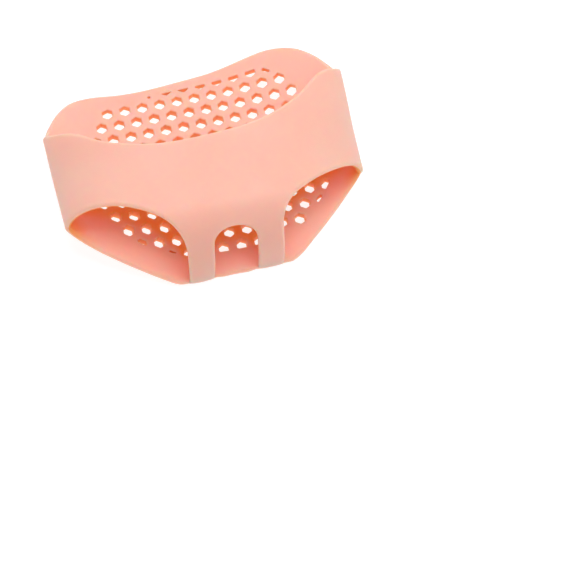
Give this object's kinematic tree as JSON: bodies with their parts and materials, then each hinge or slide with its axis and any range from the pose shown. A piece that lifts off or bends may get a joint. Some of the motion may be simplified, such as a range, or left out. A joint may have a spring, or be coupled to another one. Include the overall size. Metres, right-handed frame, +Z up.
{
  "type": "silicone forefoot sleeve pad",
  "caption": "One-piece soft silicone forefoot sleeve: honeycomb sole pad, plain band over the foot and toe openings parted by straps.",
  "frame": {"origin": "middle of the sleeve's outline, on the surface that the sole pad lies on", "axes": "+Z up from the sole pad to the band; -Y towards the toes; +X across the foot, towards the rear lobe that curls up"},
  "size_m": [0.0902, 0.0704, 0.0251],
  "materials": {
    "skin_silicone": "satin"
  },
  "bodies": {
    "root": {"forefoot_sleeve": "skin_silicone"}
  },
  "joints": []
}
